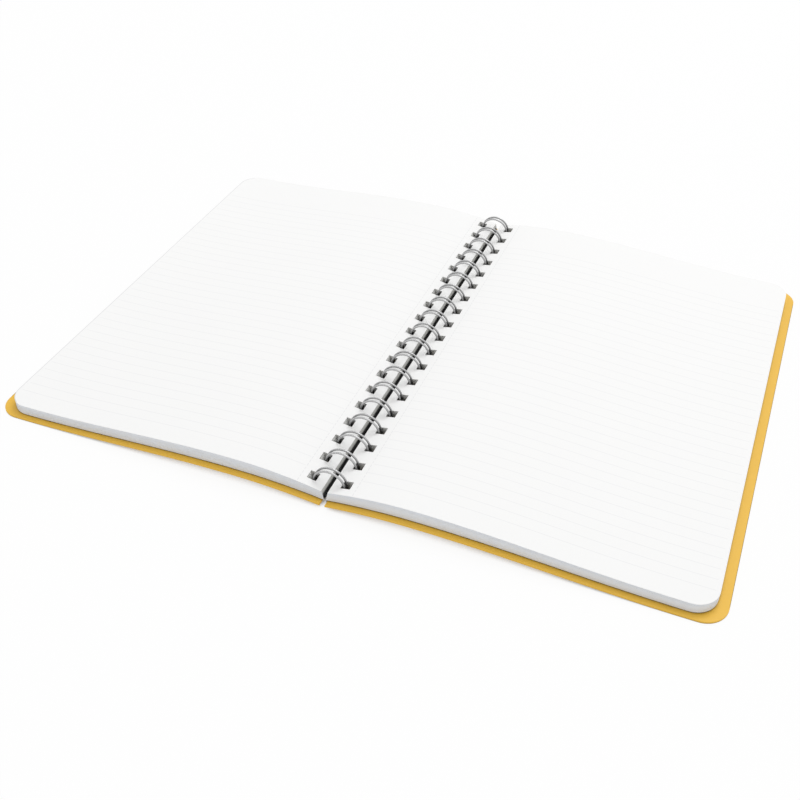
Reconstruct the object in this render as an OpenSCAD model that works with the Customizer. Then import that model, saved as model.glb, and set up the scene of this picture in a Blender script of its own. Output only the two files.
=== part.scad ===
// Open notebook bound with a twin-loop wire, lying open on a table.
// The origin is on the table under the middle of the spine.
// X runs across the open pages, Y runs along the spine and Z is up.

/* [Pages] */
// Width of a page, from its punched edge to its outer edge
page_w = 164; // [110:0.5:200]
// Height of a page, along the spine
page_h = 241.3; // [150:0.1:300]
// Radius of the outer corners of the pages
page_corner_r = 10; // [2:0.5:20]
// Thickness of each stack beside the wire
stack_spine_t = 4.5; // [3:0.1:5.5]
// Thickness of each stack at the crest of its arch, where the sheets lie loosest
stack_crest_t = 6; // [4:0.1:9]
// Thickness of each stack at its outer edge
stack_edge_t = 4.9; // [2:0.1:8]
// Width of the strip along the outer edge that has the edge thickness
stack_edge_w = 26; // [4:1:40]

/* [Covers] */
// Thickness of a cover
cover_t = 1; // [0.5:0.1:1.5]
// How far a cover stands out past the outer edge of the pages
cover_side_lip = 4.8; // [1:0.1:10]
// How far a cover stands out past each end of the pages
cover_end_lip = 2.9; // [0.5:0.1:8]
// Radius of the outer corners of the covers
cover_corner_r = 10.5; // [2:0.5:24]
// Gap between a cover and the stack on it
leaf_gap = 0.3; // [0.1:0.05:0.5]
// Gap between the punched edges of the two covers
cover_gap = 1.6; // [0.8:0.1:2.4]

/* [Arch] */
// Height of a cover's underside at the spine, where the wire lifts it
spine_rise = 1.9; // [1.6:0.05:2.4]
// Height of a cover's underside at the crest of its arch
crest_rise = 4.8; // [3:0.1:8]
// Distance from the spine to the crest
crest_x = 41; // [30:0.5:60]
// Width of the flat strip at the outer edge, on which a cover rests
rest_w = 7; // [4:0.5:20]

/* [Binding] */
// Distance from one loop to the next
loop_pitch = 12.7; // [10:0.1:16]
// Outside diameter of the closed loops
ring_d = 16.1; // [15:0.05:19]
// Diameter of the wire
wire_d = 1; // [0.8:0.05:1.2]
// Distance between the two strands of a loop, middle to middle
strand_space = 2.4; // [2:0.1:2.6]
// Radius of the bend at the foot of each strand
bend_r = 1.2; // [0.9:0.05:1.5]
// How much thinner the wire is where it is bent tightly
bend_thin = 0.04; // [0.03:0.01:0.1]
// Gap along the seam between the tip of a loop and the line of the feet
seam_gap = 0.4; // [0.3:0.05:1]
// Length of the straight end that is left past the first and the last loop
wire_end_l = 1.5; // [0.5:0.1:3]
// How far the wire has slid towards the near end of the holes
wire_slide = 0.3; // [0:0.05:0.35]

/* [Punching] */
// Size of a hole across the page
hole_w = 4.2; // [3.9:0.1:5]
// Size of a hole along the spine
hole_l = 4.7; // [4.6:0.1:6]
// Least play between the wire and the side of a hole that faces the spine
hole_play = 0.3; // [0.25:0.05:0.6]
// How much farther out the top sheet of a stack sits on the wire than its bottom sheet
stack_slant = 1; // [0.4:0.05:1.4]
// Least distance from the end of a page to the middle of its first hole
hole_margin = 6; // [5:0.1:12]
// Gap between the bottom sheets of the two stacks
spine_gap = 0.9; // [0.6:0.1:1.6]

/* [Hidden] */

// How far a cutting shape runs past what it cuts
cut_over = 1;
// Flat steps along the arch of a sheet
arch_steps = 40;
// How far a tight bend reaches into the wire on either side of it, in degrees of the bend
bend_lap = 5;
// Facets round the wire, and round a whole loop
wire_fn = 32;
ring_fn = 96;

// The loops, centred on the page's height
loop_count = floor((page_h - 2 * hole_margin) / loop_pitch) + 1;
first_loop_y = -(loop_count - 1) * loop_pitch / 2;

// The ring of the wire's middle line, lying on the table with its seam down
ring_r = (ring_d - wire_d) / 2;
foot_r = sqrt(pow(ring_r, 2) + pow(bend_r, 2));
ring_z = foot_r + wire_d / 2;

// Where each strand starts at its foot and ends at its tip, either side of the seam
tip_r = strand_space / 2;
foot_angle = arc_angle(bend_r);
tip_angle = arc_angle(tip_r + seam_gap);
// The angle that a length takes up round the ring
function arc_angle(length) = length / ring_r * 180 / PI;

// Underside of a stack beside the spine
spine_low_z = spine_rise + cover_t + leaf_gap;

// How far out the near side of a hole may sit inside the ring, at a height
function inside_ring_x(z) = sqrt(max(0, pow(ring_r - wire_d / 2 - hole_play, 2) - pow(z - ring_z, 2)));

// The sheets of a stack sit farther out one by one, so their edges and their holes slant alike
function sheet_slant(z) = stack_slant * (z - spine_low_z) / stack_spine_t;
function sheet_hole_x(z) = inside_ring_x(spine_low_z) + sheet_slant(z);
function sheet_edge_x(z) = spine_gap / 2 + sheet_slant(z);

// Outer edges of the pages and the covers, and the start of the flat strip of a cover
page_side_x = spine_gap / 2 + stack_slant + page_w;
cover_side_x = page_side_x + cover_side_lip;
rest_x = cover_side_x - rest_w;
cover_h = page_h + 2 * cover_end_lip;

// A line that rises as a parabola to its crest and eases down to its end
function eased(from, to, part) = from + (to - from) * (1 - cos(180 * part)) / 2;
function arch(spine, crest, end, end_x, x) =
    x < crest_x ? crest - (crest - spine) * pow(1 - x / crest_x, 2)
    : x < end_x ? eased(crest, end, (x - crest_x) / (end_x - crest_x))
    : end;

function cover_low_z(x) = arch(spine_rise, crest_rise, 0, rest_x, x);
function stack_low_z(x) = cover_low_z(x) + cover_t + leaf_gap;
function stack_t(x) = arch(stack_spine_t, stack_crest_t, stack_edge_t, page_side_x - stack_edge_w, x);
function stack_high_z(x) = stack_low_z(x) + stack_t(x);

// The near side of a cover's holes
cover_hole_x = inside_ring_x(cover_low_z(inside_ring_x(spine_rise)));

// The value that lies a part of the way from one value to another
function between(from, to, part) = from + (to - from) * part;

// Copies of a shape at every loop
module at_loops() {
    for (i = [0:loop_count - 1])
        translate([0, first_loop_y + i * loop_pitch, 0])
            children();
}

// A profile in X and Z, run along the spine and centred on it
module along_spine(length) {
    rotate([90, 0, 0])
        translate([0, 0, -length / 2])
            linear_extrude(length)
                children();
}

// What is cut from the outer corners of a sheet to round them
module corner_cuts(side_x, height, radius, high_z) {
    for (end = [-1, 1])
        translate([side_x - radius, end * (height / 2 - radius), -cut_over])
            difference() {
                translate([0, end > 0 ? 0 : -radius - cut_over, 0])
                    cube([radius + cut_over, radius + cut_over, high_z + 2 * cut_over]);
                cylinder(h = high_z + 2 * cut_over, r = radius, $fn = ring_fn);
            }
}

// One cover on the +X side: an arched sheet with a flat resting strip
module cover() {
    edge_x = cover_gap / 2;
    arch_x = [for (i = [0:arch_steps]) between(edge_x, rest_x, i / arch_steps)];
    low = concat([for (x = arch_x) [x, cover_low_z(x)]], [[cover_side_x, 0]]);
    high = [for (i = [len(low) - 1:-1:0]) [low[i][0], low[i][1] + cover_t]];
    difference() {
        along_spine(cover_h)
            polygon(concat(low, high));
        corner_cuts(cover_side_x, cover_h, cover_corner_r, crest_rise + cover_t);
        at_loops()
            translate([cover_hole_x, -hole_l / 2, -cut_over])
                cube([hole_w, hole_l, crest_rise + cover_t + 2 * cut_over]);
    }
}

// The profile of one stack on the +X side, with its punched edge slanted along the wire
module stack_profile() {
    low_x = spine_gap / 2;
    high_x = sheet_edge_x(stack_high_z(low_x + stack_slant));
    low = [for (i = [0:arch_steps]) let (x = between(low_x, page_side_x, i / arch_steps)) [x, stack_low_z(x)]];
    high = [for (i = [arch_steps:-1:0]) let (x = between(high_x, page_side_x, i / arch_steps)) [x, stack_high_z(x)]];
    polygon(concat(low, high));
}

// The profile of the holes through one stack: each sheet is punched alike and sits where the wire holds it
module stack_hole_profile() {
    low_z = spine_low_z - cut_over / 2;
    high_z = stack_high_z(ring_r + hole_w) + cut_over;
    low_x = sheet_hole_x(low_z);
    high_x = sheet_hole_x(high_z);
    polygon([[low_x, low_z], [low_x + hole_w, low_z], [high_x + hole_w, high_z], [high_x, high_z]]);
}

// One stack of pages on the +X side
module stack() {
    difference() {
        along_spine(page_h)
            stack_profile();
        corner_cuts(page_side_x, page_h, page_corner_r, crest_rise + cover_t + stack_crest_t);
        at_loops()
            along_spine(hole_l)
                stack_hole_profile();
    }
}

// A part of a ring of wire, bent to a radius, in the X and Y plane
module wire_arc(radius, start, sweep, wire_size) {
    rotate([0, 0, start])
        rotate_extrude(angle = sweep, $fn = ring_fn)
            translate([radius, 0])
                circle(d = wire_size, $fn = wire_fn);
}

// A tight bend, drawn a little thinner, that runs on into the wire at both of its ends
module wire_bend(radius, start, sweep) {
    wire_arc(radius, start - bend_lap, sweep + 2 * bend_lap, wire_d - bend_thin);
}

// Lays a shape against the ring at an angle: its X runs along the spine and its Y around the ring
module on_ring(angle) {
    rotate([0, -angle, 0])
        translate([ring_r, 0, 0])
            rotate([90, 0, 90])
                children();
}

// One loop: two strands round the ring, joined at the tip by a half turn, each with a bent foot
module wire_loop() {
    start = foot_angle - 90;
    end = 270 - tip_angle;
    for (side = [-1, 1])
        translate([0, side * tip_r, 0])
            rotate([90, 0, 0])
                wire_arc(ring_r, start, end - start, wire_d);
    on_ring(end)
        wire_bend(tip_r, 0, 180);
    on_ring(start)
        for (side = [-1, 1])
            translate([side * (tip_r + bend_r), 0, 0])
                wire_bend(bend_r, side > 0 ? 180 : 270, 90);
}

// A straight piece of wire along the line of the feet
module foot_wire(from_y, length) {
    on_ring(foot_angle - 90)
        translate([from_y, -bend_r, 0])
            rotate([0, 90, 0])
                cylinder(h = length, d = wire_d, $fn = wire_fn);
}

module front_cover() {
    color([0.96, 0.76, 0.3])
        mirror([1, 0, 0])
            cover();
}

module back_cover() {
    color([0.96, 0.76, 0.3])
        cover();
}

module left_pages() {
    color([0.97, 0.97, 0.97])
        mirror([1, 0, 0])
            stack();
}

module right_pages() {
    color([0.97, 0.97, 0.97])
        stack();
}

// One wire: the feet of neighbouring loops are joined by straight pieces along the seam
module wire_binding() {
    foot_y = tip_r + bend_r;
    color([0.62, 0.62, 0.64])
        translate([0, -wire_slide, ring_z]) {
            at_loops()
                wire_loop();
            for (i = [0:loop_count - 2])
                translate([0, first_loop_y + i * loop_pitch, 0])
                    foot_wire(foot_y, loop_pitch - 2 * foot_y);
            translate([0, first_loop_y, 0])
                foot_wire(-foot_y - wire_end_l, wire_end_l);
            translate([0, -first_loop_y, 0])
                foot_wire(foot_y, wire_end_l);
        }
}

front_cover();
left_pages();
wire_binding();
right_pages();
back_cover();
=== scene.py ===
import math

import bpy
import numpy as np
from mathutils import Matrix, Vector


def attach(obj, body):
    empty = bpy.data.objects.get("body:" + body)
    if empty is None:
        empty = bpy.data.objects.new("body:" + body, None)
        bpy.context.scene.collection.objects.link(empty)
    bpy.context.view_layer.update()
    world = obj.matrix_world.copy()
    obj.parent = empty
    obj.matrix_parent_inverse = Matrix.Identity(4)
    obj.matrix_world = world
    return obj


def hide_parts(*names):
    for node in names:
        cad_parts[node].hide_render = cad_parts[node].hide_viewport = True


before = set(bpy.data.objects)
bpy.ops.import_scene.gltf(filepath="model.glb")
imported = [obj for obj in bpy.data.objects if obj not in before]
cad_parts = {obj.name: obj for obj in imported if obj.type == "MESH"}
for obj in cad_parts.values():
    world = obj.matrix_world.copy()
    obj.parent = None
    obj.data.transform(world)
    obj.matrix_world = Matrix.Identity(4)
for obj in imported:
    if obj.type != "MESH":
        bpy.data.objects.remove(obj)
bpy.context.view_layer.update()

# The open notebook, dressed: two covers, two stacks of sheets and a twin-loop wire.
# Each replaces its own solid and rides on the same body.
MM = 0.001

# Sizes of the part in millimetres. The source has them too, with 1.6 for COVER_GAP and 16.1 for RING_D.
# Those two were measured again in the photograph, later than the source.
PAGE_W = 164.0
PAGE_H = 241.3
PAGE_CORNER_R = 10.0
STACK_SPINE_T = 4.5
STACK_CREST_T = 6.0
STACK_EDGE_T = 4.9
STACK_EDGE_W = 26.0
COVER_T = 1.0
COVER_SIDE_LIP = 4.8
COVER_END_LIP = 2.9
COVER_CORNER_R = 10.5
COVER_GAP = 2.4
LEAF_GAP = 0.3
SPINE_RISE = 1.9
CREST_RISE = 4.8
CREST_X = 41.0
REST_W = 7.0
LOOP_PITCH = 12.7
RING_D = 15.7
WIRE_D = 1.0
STRAND_SPACE = 2.4
BEND_R = 1.2
SEAM_GAP = 0.4
WIRE_END_L = 1.5
WIRE_SLIDE = 0.3
HOLE_W = 4.2
HOLE_L = 4.7
HOLE_PLAY = 0.3
STACK_SLANT = 1.0
HOLE_MARGIN = 6.0
SPINE_GAP = 0.9

# Sizes that follow from these
LOOP_COUNT = int((PAGE_H - 2 * HOLE_MARGIN) // LOOP_PITCH) + 1
LOOPS_Y = (np.arange(LOOP_COUNT) - (LOOP_COUNT - 1) / 2) * LOOP_PITCH
RING_R = (RING_D - WIRE_D) / 2
RING_Z = math.hypot(RING_R, BEND_R) + WIRE_D / 2
TIP_R = STRAND_SPACE / 2
SPINE_LOW_Z = SPINE_RISE + COVER_T + LEAF_GAP
PAGE_SIDE_X = SPINE_GAP / 2 + STACK_SLANT + PAGE_W
COVER_SIDE_X = PAGE_SIDE_X + COVER_SIDE_LIP

# Small shapes in millimetres: where the slant of the sheets begins to fade, how far groups of sheets
# stray out of line, the radius of the covers' rims, and the length of the tips of the wire's two ends,
# which narrow to a share of its diameter
HELD_X = 12.0
SHEET_STRAY = 0.05
COVER_EDGE_R = 0.18
WIRE_TIP_L = 0.12
WIRE_TIP_SHARE = 0.78

# Fineness of the sheets and the wire
CORNER_STEPS = 14
ARCH_STEPS = 70
FLAP_STEPS = 3
HOLE_STEPS = 4
RIM_STEPS = 3
SLANT_ROUNDS = 4
SHEET_GROUPS = 24
WIRE_SIDES = 14
STRAND_STEPS = 66
BEND_STEPS = 8
SHEET_SHARP_DEG = 28
WIRE_SHARP_DEG = 40

# Sides of the spine, and material slots of a leaf
LEFT, RIGHT = -1, 1
TOP_SLOT, EDGE_SLOT, UNDER_SLOT = 0, 1, 2

# The print of a page in millimetres: ruled lines, a fine perforation beside the holes, and a painted shade
# along the rim
FIRST_RULE_Y = -110.4
RULE_PITCH = 5.845
RULE_COUNT = 36
RULE_W = 0.3
RULE_START_X = 13.6
RULE_END_X = 163.6
PERFORATION_X = 12.9
SLIT_PITCH = 2.4
SLIT_W = 0.3
SLIT_SHARE = 0.66
PRINT_SOFT = 0.04
RIM_W = 0.4
RIM_SOFT = 0.05

# The cut edges of a stack in millimetres: the punched edge lies inside SPINE_FACE_X, the holes between it
# and OUTSIDE_X, and the cut ends in the last END_STRIP
SPINE_FACE_X = 3.6
OUTSIDE_X = 12.0
END_STRIP = 0.5

# Levels of the punched edge, from 0 below to 1 above, between which the painted shade of the spine thins
# out, and the share of it that is left above them
DEEP_LEVEL = 0.5
SHALLOW_LEVEL = 0.68
SHALLOW_SHADE = 0.05

# Grain: how the noise of paper fibres and of streaks along a cut edge is stretched, how many sheets are
# drawn in each group of them, and how high fibres and pressed grain stand in the bumps
FIBRE_STRETCH = (900, 2600, 900)
STREAK_STRETCH = (0.05, 14, 1)
SHEETS_PER_GROUP = 2.0
FIBRE_HEIGHT = 0.35
GRAIN_HEIGHT = 0.6

# How much the cut edges darken from sheet to sheet, in streaks and between sheets, and all that together
SHEET_DARK = 0.25
STREAK_DARK = 0.25
BETWEEN_DARK = 0.3
EDGE_DARK = 0.22

# Rays by which a material finds how open a place is
OPENNESS_SAMPLES = 12

# Colours
PAPER = (0.93, 0.93, 0.925, 1)
RULE = (0.85, 0.85, 0.855, 1)
SLIT = (0.81, 0.81, 0.815, 1)
# The next colour is painted shade along the rim of the left page's outer side
RIM_SHADE = (0.74, 0.74, 0.745, 1)
PAPER_EDGE = (0.9, 0.933, 0.98, 1)
HOLE_EDGE = (0.95, 0.95, 0.925, 1)
# The next colour is a darker copy of the cut edge's colour, a painted shade on the punched edge beside the
# spine
SPINE_EDGE_SHADED = (0.78, 0.78, 0.75, 1)
# The next colour is painted shade deep in the spine and the holes
DEEP_SHADE = (0.012, 0.012, 0.012, 1)
YELLOW = (0.85, 0.51, 0.052, 1)
YELLOW_DEEP = (0.81, 0.475, 0.042, 1)
# The next colour is painted shade on the card where something lies close to it
OLIVE_SHADE = (0.13, 0.095, 0.018, 1)
WIRE_GREY = (0.61, 0.61, 0.615, 1)
# The next colour is painted shade on the wire where something lies close to it
WIRE_SHADE = (0.05, 0.05, 0.05, 1)
FLOOR_GREY = (0.9, 0.9, 0.9, 1)
WHITE = (1, 1, 1, 1)
BLACK = (0, 0, 0, 1)

# Light: the sky's strength, and the lamp's power in watts and its size and place in metres
SKY_LEVEL = 0.75
KEY_WATTS = 40
KEY_SIZE = 1.9
KEY_PLACE = (0.5, 1.6, 2.95)

# The floor: how white it looks where nothing covers it, its reach in metres, and its depth in millimetres
# below the covers, so that no two faces share a plane
FLOOR_WHITE = 0.93
FLOOR_REACH = 3.0
FLOOR_DEPTH = 0.04

# The photograph's view: angles in degrees, lengths in millimetres, clip distances in metres, and the
# width of the image and its shift upwards in pixels
CAMERA_AZIMUTH = 21.698
CAMERA_ELEVATION = 39.707
CAMERA_ROLL = 0.389
CAMERA_TARGET = (3.49, -42.83, 0.0)
CAMERA_DISTANCE = 512.63
CAMERA_LENS = 47.887
CAMERA_SENSOR_W = 36.0
CAMERA_CLIP = (0.01, 20)
IMAGE_W_PX = 800
IMAGE_SHIFT_PX = 0.5


# Heights of the leaves

def arch(spine, crest, end, end_x, x):
    """A height that rises from the spine to the crest in a curve, and falls smoothly to end at end_x."""
    rising = crest - (crest - spine) * (1 - x / CREST_X) ** 2
    part = np.clip((x - CREST_X) / (end_x - CREST_X), 0, 1)
    falling = crest + (end - crest) * (1 - np.cos(np.pi * part)) / 2
    return np.where(x < CREST_X, rising, falling)


def inside_ring_x(z):
    """How far out the near side of a hole may sit inside the ring, at a height."""
    return math.sqrt(max(0, (RING_R - WIRE_D / 2 - HOLE_PLAY) ** 2 - (z - RING_Z) ** 2))


def cover_low_z(x):
    return arch(SPINE_RISE, CREST_RISE, 0, COVER_SIDE_X - REST_W, x)


def stack_low_z(x):
    return cover_low_z(x) + COVER_T + LEAF_GAP


def stack_high_z(x):
    settled_x = PAGE_SIDE_X - STACK_EDGE_W
    return stack_low_z(x) + arch(STACK_SPINE_T, STACK_CREST_T, STACK_EDGE_T, settled_x, x)


def place_cover(x, y, level):
    """A point of a cover from its place in plan and its level, from 0 below to 1 above."""
    return np.stack([x, y, cover_low_z(x) + COVER_T * level], -1)


def place_stack(x, y, level):
    """A point of a stack. Beside the spine each sheet sits farther out than the one below it."""
    held = np.clip((CREST_X - x) / (CREST_X - HELD_X), 0, 1)
    moved = x
    for _ in range(SLANT_ROUNDS):
        low, high = stack_low_z(moved), stack_high_z(moved)
        z = low + (high - low) * level
        moved = x + held * STACK_SLANT * (z - SPINE_LOW_Z) / STACK_SPINE_T
    return np.stack([moved, y, z], -1)


# The plan of a leaf

def plan_columns(edge_x, hole_x, side_x, corner_r):
    """Lines of a leaf's plan, from the punched edge past the holes to the outer edge."""
    turn = np.linspace(0, np.pi / 2, CORNER_STEPS + 1)[1:]
    return np.concatenate([
        np.linspace(edge_x, hole_x, FLAP_STEPS + 1)[:-1],
        np.linspace(hole_x, hole_x + HOLE_W, HOLE_STEPS + 1)[:-1],
        np.linspace(hole_x + HOLE_W, side_x - corner_r, ARCH_STEPS + 1),
        side_x - corner_r + corner_r * np.sin(turn)])


def plan_rows(half_h):
    """Lines of a leaf's plan along the spine: both sides of every hole, and one line between."""
    sides = np.sort(np.concatenate([LOOPS_Y - HOLE_L / 2, LOOPS_Y + HOLE_L / 2]))
    ends = np.concatenate([[-half_h], sides, [half_h]])
    between = (ends[:-1:2] + ends[1::2]) / 2
    return np.sort(np.concatenate([ends, between]))


def plan_grid(columns, rows, side_x, corner_r):
    """Points of a leaf's plan, with its outer corners rounded."""
    x, y = np.meshgrid(columns, rows, indexing="ij")
    past = np.maximum(0, x - (side_x - corner_r))
    half_h = rows[-1] - corner_r + np.sqrt(np.maximum(0, corner_r ** 2 - past ** 2))
    return np.stack([x, y * half_h / rows[-1]], -1).reshape(-1, 2)


def plan_cells(columns, rows, hole_x):
    """Four-sided cells of the plan, without those inside the holes."""
    mid_x = (columns[:-1] + columns[1:]) / 2
    mid_y = (rows[:-1] + rows[1:]) / 2
    over_hole = (mid_x > hole_x) & (mid_x < hole_x + HOLE_W)
    beside_loop = (np.abs(mid_y[:, None] - LOOPS_Y) < HOLE_L / 2).any(1)
    cells = []
    for i, j in np.argwhere(~(over_hole[:, None] & beside_loop)):
        a = int(i) * len(rows) + int(j)
        b = a + len(rows)
        cells.append((a, b, b + 1, a + 1))
    return cells


def plan_of(edge_x, hole_x, side_x, half_h, corner_r):
    """The points and the cells of a leaf's plan."""
    columns = plan_columns(edge_x, hole_x, side_x, corner_r)
    rows = plan_rows(half_h)
    return plan_grid(columns, rows, side_x, corner_r), plan_cells(columns, rows, hole_x)


def outline(cells):
    """The next point round the outer edge and the holes, for each point on them."""
    edges = {(c[k], c[(k + 1) % 4]) for c in cells for k in range(4)}
    return dict(e for e in edges if (e[1], e[0]) not in edges)


def outward(plan, after):
    """The points on the outline, and how far each moves when the outline grows by one."""
    ring = sorted(after)
    before = {b: a for a, b in after.items()}
    back = plan[ring] - plan[[before[v] for v in ring]]
    ahead = plan[[after[v] for v in ring]] - plan[ring]
    square = [np.stack([d[:, 1], -d[:, 0]], -1) for d in (back, ahead)]
    first, second = (n / np.linalg.norm(n, axis=1)[:, None] for n in square)
    return ring, (first + second) / (1 + (first * second).sum(1))[:, None]


def lengths_along(plan, after):
    """The length round the outline at the start and the end of each of its edges."""
    found, left = {}, set(after)
    while left:
        v, length = min(left), 0.0
        while v in left:
            left.discard(v)
            step = float(np.linalg.norm(plan[after[v]] - plan[v]))
            found[v] = (length, length + step)
            length += step
            v = after[v]
    return found


# The leaves

def leaf_points(plan, levels, place, ring, growth):
    """Points of a leaf, level by level, and for each level the number of each point on its outline."""
    points, rings = [], []
    for number, (level, inset, shift) in enumerate(levels):
        start = sum(map(len, points))
        edge = plan[ring] - growth * inset + shift
        if number in (0, len(levels) - 1):
            whole = plan.copy()
            whole[ring] = edge
            rings.append({v: start + v for v in ring})
            points.append(place(whole[:, 0], whole[:, 1], level))
        else:
            rings.append({v: start + k for k, v in enumerate(ring)})
            points.append(place(edge[:, 0], edge[:, 1], level))
    return np.concatenate(points), rings


def side_faces(plan, after, levels, rings):
    """Faces round a leaf from level to level, with their places along its outline and in its height."""
    along = lengths_along(plan, after)
    faces, maps = [], []
    for k in range(len(levels) - 1):
        low, high = levels[k][0], levels[k + 1][0]
        below, above = rings[k], rings[k + 1]
        for a, b in after.items():
            start, end = along[a]
            faces.append((below[a], below[b], above[b], above[a]))
            maps.append([(start, low), (end, low), (end, high), (start, high)])
    return faces, maps


def leaf(name, side, plan, cells, levels, place, finishes):
    """A closed leaf on one side of the spine. levels are (level, inset, shift) from below to above."""
    after = outline(cells)
    ring, growth = outward(plan, after)
    points, rings = leaf_points(plan, levels, place, ring, growth)
    last = len(points) - len(plan)
    above = [tuple(last + v for v in cell) for cell in cells]
    below = [cell[::-1] for cell in cells]
    around, maps_around = side_faces(plan, after, levels, rings)
    faces = above + below + around
    maps = [[tuple(plan[v]) for v in cell] for cell in cells + below] + maps_around
    slots = [TOP_SLOT] * len(above) + [UNDER_SLOT] * len(below) + [EDGE_SLOT] * len(around)
    points[:, 0] *= side
    if side < 0:
        faces = [face[::-1] for face in faces]
        maps = [places[::-1] for places in maps]
    return new_piece(name, points, faces, slots, maps, finishes, SHEET_SHARP_DEG)


def new_piece(name, points, faces, slots, maps, finishes, sharp_deg):
    mesh = bpy.data.meshes.new(name)
    mesh.from_pydata((np.asarray(points) * MM).tolist(), [], faces)
    layer = mesh.uv_layers.new(name="along")
    layer.data.foreach_set("uv", np.array([p for m in maps for p in m], np.float32).ravel())
    for finish in finishes:
        mesh.materials.append(finish)
    mesh.polygons.foreach_set("material_index", slots)
    mesh.shade_smooth()
    mesh.set_sharp_from_angle(angle=math.radians(sharp_deg))
    mesh.validate()
    piece = bpy.data.objects.new(name, mesh)
    bpy.context.scene.collection.objects.link(piece)
    return piece


def settle(piece, solid, body):
    """Lets a piece stand for its CAD solid."""
    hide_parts(solid)
    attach(piece, body)


def cover_levels():
    """Levels of a cover, with its two rims slightly rounded."""
    turns = np.linspace(0, np.pi / 2, RIM_STEPS + 1)
    rim = [(COVER_EDGE_R * (1 - math.cos(a)), COVER_EDGE_R * (1 - math.sin(a))) for a in turns]
    below = [(depth / COVER_T, inset, np.zeros(2)) for depth, inset in rim]
    above = [(1 - depth / COVER_T, inset, np.zeros(2)) for depth, inset in reversed(rim)]
    return below + above


def stack_levels(seed):
    """Levels of a stack: groups of sheets, each a hair out of line with the next."""
    stray = np.random.default_rng(seed).uniform(-SHEET_STRAY, SHEET_STRAY, (SHEET_GROUPS, 2))
    stray[-1] = 0
    levels = []
    for k in range(SHEET_GROUPS):
        inset = SHEET_STRAY if k < SHEET_GROUPS - 1 else 0
        levels += [(part / SHEET_GROUPS, inset, stray[k]) for part in (k, k + 1)]
    return levels


def add_cover(name, solid, body, side, finish):
    """A cover. Its holes begin inside the ring at the height that the cover has there."""
    hole_x = inside_ring_x(float(cover_low_z(inside_ring_x(SPINE_RISE))))
    half_h = PAGE_H / 2 + COVER_END_LIP
    plan, cells = plan_of(COVER_GAP / 2, hole_x, COVER_SIDE_X, half_h, COVER_CORNER_R)
    piece = leaf(name, side, plan, cells, cover_levels(), place_cover, [finish] * 3)
    settle(piece, solid, body)


def add_stack(name, solid, body, side, seed, finishes):
    """A stack of sheets. Its holes begin inside the ring at the height of the bottom sheet."""
    hole_x = inside_ring_x(SPINE_LOW_Z)
    plan, cells = plan_of(SPINE_GAP / 2, hole_x, PAGE_SIDE_X, PAGE_H / 2, PAGE_CORNER_R)
    piece = leaf(name, side, plan, cells, stack_levels(seed), place_stack, finishes)
    settle(piece, solid, body)


# The twin-loop wire

def on_ring(angle, along, round_it):
    """Points beside the ring: along the spine, and round the ring from an angle."""
    x = RING_R * math.cos(angle) - round_it * math.sin(angle)
    z = RING_R * math.sin(angle) + round_it * math.cos(angle) + RING_Z
    return np.stack([x, along, z], -1)


def bend(angle, centre, radius, start, end, steps):
    """A tight bend that lies against the ring at an angle, with its own start and end in degrees."""
    turn = np.radians(np.linspace(start, end, steps + 1))
    return on_ring(angle, centre + radius * np.cos(turn), radius * np.sin(turn))


def strand(start, end, side):
    """One strand of a loop, round the ring from one angle to another."""
    turn = np.linspace(start, end, STRAND_STEPS + 1)
    x, z = RING_R * np.cos(turn), RING_R * np.sin(turn) + RING_Z
    return np.stack([x, np.full_like(x, side * TIP_R), z], -1)


def loop_path():
    """One loop, from its near foot up round the ring, over the tip and back to its far foot."""
    foot = BEND_R / RING_R - math.pi / 2
    tip = math.pi * 3 / 2 - (TIP_R + SEAM_GAP) / RING_R
    return np.concatenate([
        bend(foot, -TIP_R - BEND_R, BEND_R, 270, 360, BEND_STEPS)[:-1],
        strand(foot, tip, -1)[:-1],
        bend(tip, 0, TIP_R, 180, 0, 2 * BEND_STEPS)[:-1],
        strand(tip, foot, 1)[:-1],
        bend(foot, TIP_R + BEND_R, BEND_R, 180, 270, BEND_STEPS)])


def wire_path():
    """The middle of the whole wire: a straight end, all the loops, and a straight end."""
    loop = loop_path()
    whole = np.concatenate([loop + (0, y - WIRE_SLIDE, 0) for y in LOOPS_Y])
    tip, neck = np.array([(0, WIRE_END_L, 0), (0, WIRE_END_L - WIRE_TIP_L, 0)])
    near, far = whole[0], whole[-1]
    return np.concatenate([[near - tip, near - neck], whole, [far + neck, far + tip]])


def carried_frames(path):
    """Two directions square to the path at each point, carried along it without twist."""
    ahead = np.gradient(path, axis=0)
    ahead /= np.linalg.norm(ahead, axis=1)[:, None]
    first = np.array([0.0, 0.0, 1.0])
    sides = []
    for direction in ahead:
        first = first - direction * (first @ direction)
        first /= np.linalg.norm(first)
        sides.append(first)
    sides = np.array(sides)
    return sides, np.cross(ahead, sides)


def tube_points(path, radii):
    """Points of a tube round a path, ring by ring."""
    first, second = carried_frames(path)
    turn = np.linspace(0, 2 * np.pi, WIRE_SIDES, endpoint=False)[None, :, None]
    ring = np.cos(turn) * first[:, None] + np.sin(turn) * second[:, None]
    return (path[:, None] + ring * radii[:, None, None]).reshape(-1, 3)


def tube_faces(path):
    """Faces of a closed tube round a path, with their places along it and round it."""
    steps = np.linalg.norm(np.diff(path, axis=0), axis=1)
    length = np.concatenate([[0], np.cumsum(steps)])
    faces, maps = [], []
    for i, (start, end) in enumerate(zip(length[:-1], length[1:])):
        for k in range(WIRE_SIDES):
            a, b = i * WIRE_SIDES + k, i * WIRE_SIDES + (k + 1) % WIRE_SIDES
            low, high = k / WIRE_SIDES, (k + 1) / WIRE_SIDES
            faces.append((a, b, b + WIRE_SIDES, a + WIRE_SIDES))
            maps.append([(start, low), (start, high), (end, high), (end, low)])
    last = (len(path) - 1) * WIRE_SIDES
    faces.append(tuple(reversed(range(WIRE_SIDES))))
    faces.append(tuple(range(last, last + WIRE_SIDES)))
    return faces, maps + [[(0, 0)] * WIRE_SIDES] * 2


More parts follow.
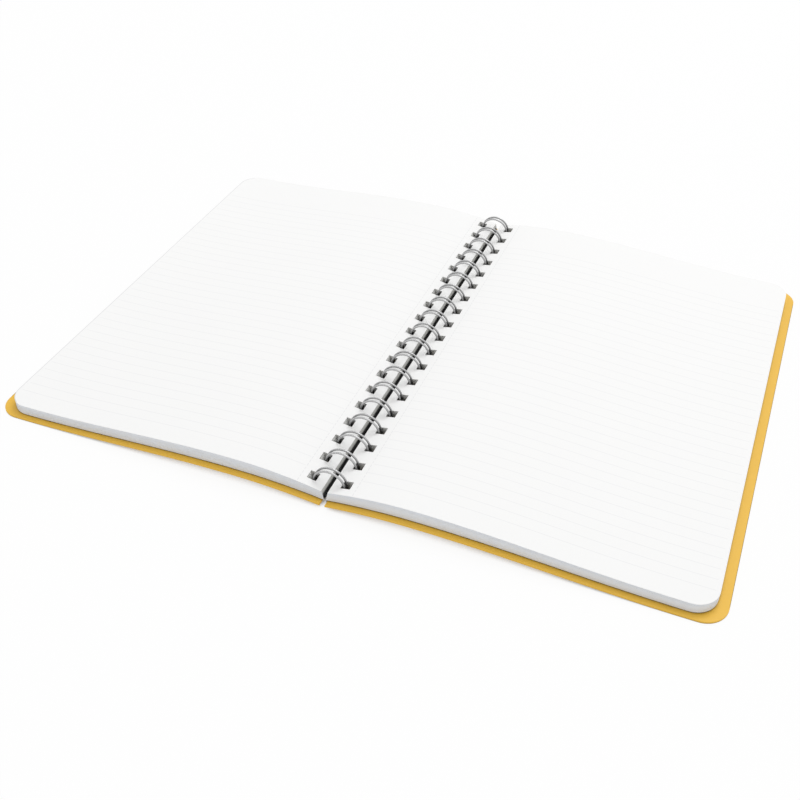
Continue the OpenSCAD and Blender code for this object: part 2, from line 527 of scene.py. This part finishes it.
def add_wire(name, solid, body, finish):
    path = wire_path()
    radii = np.full(len(path), WIRE_D / 2)
    radii[[0, -1]] *= WIRE_TIP_SHARE
    faces, maps = tube_faces(path)
    slots = [0] * len(faces)
    piece = new_piece(name, tube_points(path, radii), faces, slots, maps, [finish], WIRE_SHARP_DEG)
    settle(piece, solid, body)


# Material helpers

def new_finish(name):
    finish = bpy.data.materials.new(name)
    finish.use_nodes = True
    finish.node_tree.nodes.clear()
    return finish, finish.node_tree


def node(tree, kind, inputs=None, **settings):
    """A new node. Its inputs are given by name or number, as values or as sockets to link."""
    made = tree.nodes.new(kind)
    for key, value in settings.items():
        setattr(made, key, value)
    for key, value in (inputs or {}).items():
        if isinstance(value, bpy.types.NodeSocket):
            tree.links.new(value, made.inputs[key])
        else:
            made.inputs[key].default_value = value
    return made


def calc(tree, operation, *values):
    made = node(tree, "ShaderNodeMath", dict(enumerate(values)), operation=operation)
    return made.outputs[0]


def remap(tree, value, from_min=0.0, from_max=1.0, to_min=0.0, to_max=1.0):
    made = node(tree, "ShaderNodeMapRange", {
        "Value": value, "From Min": from_min, "From Max": from_max, "To Min": to_min, "To Max": to_max})
    return made.outputs["Result"]


def near_zero(tree, value, width, soft):
    """1 where a value lies within half a width of zero, 0 past it."""
    size = calc(tree, "ABSOLUTE", value)
    return remap(tree, size, width / 2 - soft, width / 2 + soft, to_min=1.0, to_max=0.0)


def blend_colour(tree, factor, first, second):
    """The first colour at 0 and the second at 1. A Mix node takes colours at 6 and 7 and gives one at 2."""
    made = node(tree, "ShaderNodeMix", {0: factor, 6: first, 7: second}, data_type="RGBA")
    return made.outputs[2]


def darker(colour, share):
    return tuple(part * share for part in colour[:3]) + (1,)


def object_place(tree):
    return node(tree, "ShaderNodeTexCoord").outputs["Object"]


def noise(tree, place, scale, detail, roughness=0.5):
    made = node(tree, "ShaderNodeTexNoise", {
        "Vector": place, "Scale": scale, "Detail": detail, "Roughness": roughness})
    return made.outputs[0]


def stretched(tree, place, scale):
    made = node(tree, "ShaderNodeMapping", {"Vector": place, "Scale": scale})
    return made.outputs["Vector"]


def bumped(tree, height, distance_mm, strength=0.5):
    made = node(tree, "ShaderNodeBump", {
        "Height": height, "Distance": distance_mm * MM, "Strength": strength})
    return made.outputs["Normal"]


def tightness(tree, reach_mm, closed, opened):
    """1 in tight places and 0 on open ones, by the share of the room within reach that is open."""
    made = node(tree, "ShaderNodeAmbientOcclusion", {"Distance": reach_mm * MM}, samples=OPENNESS_SAMPLES)
    return remap(tree, made.outputs["AO"], closed, opened, to_min=1.0, to_max=0.0)


def surface(tree, **inputs):
    named = {key.replace("_", " "): value for key, value in inputs.items()}
    shader = node(tree, "ShaderNodeBsdfPrincipled", named)
    node(tree, "ShaderNodeOutputMaterial", {"Surface": shader.outputs[0]})


# Paper

def paper_tone(tree, place, colour, depth):
    """A colour that is a touch darker in soft patches and between fibres, and the fibres."""
    patches = noise(tree, place, scale=35, detail=3)
    fibres = noise(tree, stretched(tree, place, FIBRE_STRETCH), scale=1, detail=3, roughness=0.6)
    mixed = calc(tree, "MULTIPLY", calc(tree, "ADD", patches, fibres), depth)
    return blend_colour(tree, mixed, colour, darker(colour, share=0.9)), fibres


def rule_mask(tree, across, along):
    """1 on the ruled lines."""
    line = calc(tree, "DIVIDE", calc(tree, "SUBTRACT", along, FIRST_RULE_Y), RULE_PITCH)
    nearest = calc(tree, "MAXIMUM", calc(tree, "ROUND", line), 0.0)
    nearest = calc(tree, "MINIMUM", nearest, RULE_COUNT - 1.0)
    off = calc(tree, "MULTIPLY", calc(tree, "SUBTRACT", line, nearest), RULE_PITCH)
    started = calc(tree, "GREATER_THAN", across, RULE_START_X)
    not_ended = calc(tree, "LESS_THAN", across, RULE_END_X)
    inside = calc(tree, "MULTIPLY", started, not_ended)
    return calc(tree, "MULTIPLY", near_zero(tree, off, RULE_W, PRINT_SOFT), inside)


def slit_mask(tree, across, along):
    """1 on the short slits of the perforation beside the holes."""
    line = near_zero(tree, calc(tree, "SUBTRACT", across, PERFORATION_X), SLIT_W, PRINT_SOFT)
    step = calc(tree, "FRACT", calc(tree, "DIVIDE", along, SLIT_PITCH))
    return calc(tree, "MULTIPLY", line, calc(tree, "LESS_THAN", step, SLIT_SHARE))


def rim_shade_mask(tree, across, along):
    """1 on the rim of a sheet, along its outer edge, its ends and its rounded corners."""
    past_x = calc(tree, "SUBTRACT", across, PAGE_SIDE_X - PAGE_CORNER_R)
    past_y = calc(tree, "SUBTRACT", calc(tree, "ABSOLUTE", along), PAGE_H / 2 - PAGE_CORNER_R)
    squares = []
    for past in (past_x, past_y):
        squares.append(calc(tree, "POWER", calc(tree, "MAXIMUM", past, 0.0), 2.0))
    round_part = calc(tree, "SQRT", calc(tree, "ADD", *squares))
    flat_part = calc(tree, "MINIMUM", calc(tree, "MAXIMUM", past_x, past_y), 0.0)
    inside = calc(tree, "SUBTRACT", calc(tree, "ADD", round_part, flat_part), PAGE_CORNER_R)
    return near_zero(tree, inside, 2 * RIM_W, RIM_SOFT)


def ruled_paper():
    """A top sheet: its ruling, its perforation, and a painted shade along the rim of the left page's outer
    side.
    """
    finish, tree = new_finish("ruled_paper")
    place = object_place(tree)
    parts = node(tree, "ShaderNodeSeparateXYZ", {0: place}).outputs
    across = calc(tree, "MULTIPLY", calc(tree, "ABSOLUTE", parts[0]), 1 / MM)
    along = calc(tree, "MULTIPLY", parts[1], 1 / MM)
    rules = rule_mask(tree, across, along)
    slits = slit_mask(tree, across, along)
    tone, fibres = paper_tone(tree, place, PAPER, depth=0.1)
    colour = blend_colour(tree, rules, tone, RULE)
    colour = blend_colour(tree, slits, colour, SLIT)
    # Painted shade along the rim of the left page's outer side
    at_left = calc(tree, "LESS_THAN", parts[0], -(PAGE_SIDE_X - PAGE_CORNER_R / 2) * MM)
    rim = calc(tree, "MULTIPLY", rim_shade_mask(tree, across, along), at_left)
    colour = blend_colour(tree, rim, colour, RIM_SHADE)
    height = calc(tree, "SUBTRACT", calc(tree, "MULTIPLY", fibres, FIBRE_HEIGHT), slits)
    surface(tree, Base_Color=colour, Roughness=0.82, Normal=bumped(tree, height, distance_mm=0.03))
    return finish


def plain_paper():
    """The underside of a stack."""
    finish, tree = new_finish("plain_paper")
    tone, fibres = paper_tone(tree, object_place(tree), PAPER, depth=0.12)
    surface(tree, Base_Color=tone, Roughness=0.85, Normal=bumped(tree, fibres, distance_mm=0.02))
    return finish


def sheet_lines(tree, place, level):
    """How dark a cut edge is from sheet to sheet, and 1 on the sheets with 0 on the lines between them."""
    sheets = calc(tree, "MULTIPLY", level, SHEET_GROUPS * SHEETS_PER_GROUP)
    shade = node(tree, "ShaderNodeTexWhiteNoise", {"W": calc(tree, "FLOOR", sheets)}, noise_dimensions="1D")
    from_middle = calc(tree, "SUBTRACT", calc(tree, "FRACT", sheets), 0.5)
    on_sheet = near_zero(tree, from_middle, width=0.66, soft=0.12)
    streaks = noise(tree, stretched(tree, place, STREAK_STRETCH), scale=1, detail=3)
    streaks = calc(tree, "MULTIPLY", streaks, STREAK_DARK)
    dark = calc(tree, "MULTIPLY_ADD", shade.outputs["Value"], SHEET_DARK, streaks)
    between = calc(tree, "MULTIPLY", calc(tree, "SUBTRACT", 1.0, on_sheet), BETWEEN_DARK)
    return calc(tree, "ADD", dark, between), on_sheet


def sheet_edges():
    """The cut edges of many sheets: fine lines, a painted shade on the punched edge, and painted shade deep
    in the spine and the holes.
    """
    finish, tree = new_finish("sheet_edges")
    places = node(tree, "ShaderNodeTexCoord").outputs
    level = node(tree, "ShaderNodeSeparateXYZ", {0: places["UV"]}).outputs[1]
    dark, on_sheet = sheet_lines(tree, places["UV"], level)
    parts = node(tree, "ShaderNodeSeparateXYZ", {0: places["Object"]}).outputs
    across, along = (calc(tree, "ABSOLUTE", part) for part in parts[:2])
    at_end = calc(tree, "GREATER_THAN", along, (PAGE_H / 2 - END_STRIP) * MM)
    outside = calc(tree, "MAXIMUM", at_end, calc(tree, "GREATER_THAN", across, OUTSIDE_X * MM))
    near_spine = calc(tree, "LESS_THAN", across, SPINE_FACE_X * MM)
    at_spine = calc(tree, "GREATER_THAN", near_spine, at_end)
    # The punched edge beside the spine takes a darker copy of the edge colour, a painted shade
    edge = blend_colour(tree, at_spine, HOLE_EDGE, SPINE_EDGE_SHADED)
    edge = blend_colour(tree, outside, edge, PAPER_EDGE)
    colour = blend_colour(tree, calc(tree, "MULTIPLY", dark, EDGE_DARK), edge, BLACK)
    # Painted shade: dark grey deep in the spine, thinning out up the punched edge, and deep in the holes
    lower = remap(tree, level, DEEP_LEVEL, SHALLOW_LEVEL, to_min=1.0, to_max=SHALLOW_SHADE)
    spine_shade = tightness(tree, reach_mm=12, closed=0.45, opened=0.6)
    spine_shade = calc(tree, "MULTIPLY", spine_shade, calc(tree, "MULTIPLY", lower, at_spine))
    hole_shade = tightness(tree, reach_mm=4, closed=0.19, opened=0.35)
    hole_shade = calc(tree, "MULTIPLY", hole_shade, calc(tree, "SUBTRACT", 1.0, at_spine))
    colour = blend_colour(tree, calc(tree, "ADD", spine_shade, hole_shade), colour, DEEP_SHADE)
    normal = bumped(tree, on_sheet, distance_mm=0.03, strength=0.6)
    surface(tree, Base_Color=colour, Roughness=0.9, Normal=normal)
    return finish


# Card and wire

def cover_card():
    """Coloured card with a fine pressed grain, and painted shade where something lies close to it."""
    finish, tree = new_finish("cover_card")
    place = object_place(tree)
    patches = noise(tree, place, scale=60, detail=4)
    grain = noise(tree, place, scale=2600, detail=2)
    pits = node(tree, "ShaderNodeTexVoronoi", {"Vector": place, "Scale": 1500.0}).outputs["Distance"]
    tone = calc(tree, "MULTIPLY_ADD", patches, 0.5, calc(tree, "MULTIPLY", grain, 0.5))
    card = blend_colour(tree, tone, YELLOW, YELLOW_DEEP)
    # Painted shade: the card turns olive where something lies close to it
    colour = blend_colour(tree, tightness(tree, reach_mm=3, closed=0.24, opened=0.68), card, OLIVE_SHADE)
    height = calc(tree, "ADD", calc(tree, "MULTIPLY", grain, GRAIN_HEIGHT), pits)
    roughness = remap(tree, grain, to_min=0.42, to_max=0.62)
    normal = bumped(tree, height, distance_mm=0.02)
    surface(tree, Base_Color=colour, Roughness=roughness, Normal=normal)
    return finish


def coated_wire():
    """Steel wire with a thin grey coating, and painted shade where something lies close to it."""
    finish, tree = new_finish("coated_wire")
    place = object_place(tree)
    peel = noise(tree, place, scale=1800, detail=3)
    patches = noise(tree, place, scale=90, detail=3)
    colour = blend_colour(tree, patches, WIRE_GREY, darker(WIRE_GREY, share=0.72))
    # Painted shade: the wire turns dark where something lies close to it
    colour = blend_colour(tree, tightness(tree, reach_mm=8, closed=0.3, opened=1.0), colour, WIRE_SHADE)
    roughness = remap(tree, peel, to_min=0.2, to_max=0.34)
    normal = bumped(tree, peel, distance_mm=0.02)
    surface(tree, Base_Color=colour, Metallic=0.55, Roughness=roughness, Normal=normal)
    return finish


# Stage, light and camera

def seen_directly(tree):
    """1 for what the camera sees, straight, in a reflection or through something clear."""
    rays = node(tree, "ShaderNodeLightPath").outputs
    seen = calc(tree, "MAXIMUM", rays["Is Camera Ray"], rays["Is Glossy Ray"])
    return calc(tree, "MAXIMUM", seen, rays["Is Transmission Ray"])


def floor_finish():
    """White where the camera sees open floor, and lit as it is where something lies close to it."""
    finish, tree = new_finish("floor_white")
    lit = node(tree, "ShaderNodeBsdfDiffuse", {"Color": FLOOR_GREY})
    white = node(tree, "ShaderNodeEmission", {"Color": WHITE, "Strength": 1.0})
    covered = tightness(tree, reach_mm=12, closed=0.08, opened=0.4)
    open_share = calc(tree, "MULTIPLY", calc(tree, "SUBTRACT", 1.0, covered), FLOOR_WHITE)
    share = calc(tree, "MULTIPLY", seen_directly(tree), open_share)
    mixed = node(tree, "ShaderNodeMixShader", {0: share, 1: lit.outputs[0], 2: white.outputs[0]})
    node(tree, "ShaderNodeOutputMaterial", {"Surface": mixed.outputs[0]})
    return finish


def add_floor():
    signs = ((-1, -1), (1, -1), (1, 1), (-1, 1))
    corners = [(x * FLOOR_REACH, y * FLOOR_REACH, -FLOOR_DEPTH * MM) for x, y in signs]
    mesh = bpy.data.meshes.new("floor")
    mesh.from_pydata(corners, [], [(0, 1, 2, 3)])
    mesh.materials.append(floor_finish())
    floor = bpy.data.objects.new("floor", mesh)
    bpy.context.scene.collection.objects.link(floor)


def set_sky():
    world = bpy.data.worlds.new("studio")
    world.use_nodes = True
    tree = world.node_tree
    tree.nodes.clear()
    sky = node(tree, "ShaderNodeBackground", {"Color": WHITE, "Strength": SKY_LEVEL})
    white = node(tree, "ShaderNodeBackground", {"Color": WHITE, "Strength": 1.0})
    share = seen_directly(tree)
    mixed = node(tree, "ShaderNodeMixShader", {0: share, 1: sky.outputs[0], 2: white.outputs[0]})
    node(tree, "ShaderNodeOutputWorld", {"Surface": mixed.outputs[0]})
    bpy.context.scene.world = world


def add_key_lamp():
    """A wide soft lamp that shines at the origin."""
    data = bpy.data.lights.new("key", "AREA")
    data.energy, data.size = KEY_WATTS, KEY_SIZE
    lamp = bpy.data.objects.new("key", data)
    lamp.location = KEY_PLACE
    lamp.rotation_euler = (-Vector(KEY_PLACE)).to_track_quat("-Z", "Y").to_euler()
    bpy.context.scene.collection.objects.link(lamp)


def add_camera():
    """The view of the photograph, from the right of the spine's near end and down on the spread."""
    angles = (CAMERA_AZIMUTH, CAMERA_ELEVATION, CAMERA_ROLL)
    azimuth, elevation, roll = (math.radians(angle) for angle in angles)
    flat = math.cos(elevation)
    back = Vector((math.sin(azimuth) * flat, -math.cos(azimuth) * flat, math.sin(elevation)))
    level = Vector((0, 0, 1)).cross(back).normalized()
    above = back.cross(level)
    right = level * math.cos(roll) + above * math.sin(roll)
    up = above * math.cos(roll) - level * math.sin(roll)
    data = bpy.data.cameras.new("photo_view")
    data.sensor_width, data.lens = CAMERA_SENSOR_W, CAMERA_LENS
    data.shift_y = IMAGE_SHIFT_PX / IMAGE_W_PX
    data.clip_start, data.clip_end = CAMERA_CLIP
    camera = bpy.data.objects.new("photo_view", data)
    turned = Matrix((right, up, back)).transposed().to_4x4()
    place = Vector(CAMERA_TARGET) * MM + back * (CAMERA_DISTANCE * MM)
    camera.matrix_world = Matrix.Translation(place) @ turned
    bpy.context.scene.collection.objects.link(camera)
    bpy.context.scene.camera = camera


def main():
    add_camera()
    set_sky()
    add_floor()
    add_key_lamp()
    card = cover_card()
    paper = [ruled_paper(), sheet_edges(), plain_paper()]
    add_cover("front_cover_card", "front_cover", "front_side", LEFT, card)
    add_cover("back_cover_card", "back_cover", "back_side", RIGHT, card)
    add_stack("left_sheets", "left_pages", "left_stack", LEFT, seed=3, finishes=paper)
    add_stack("right_sheets", "right_pages", "right_stack", RIGHT, seed=8, finishes=paper)
    add_wire("twin_loop_wire", "wire_binding", "binding", coated_wire())
    bpy.context.scene.view_settings.view_transform = "Standard"


main()
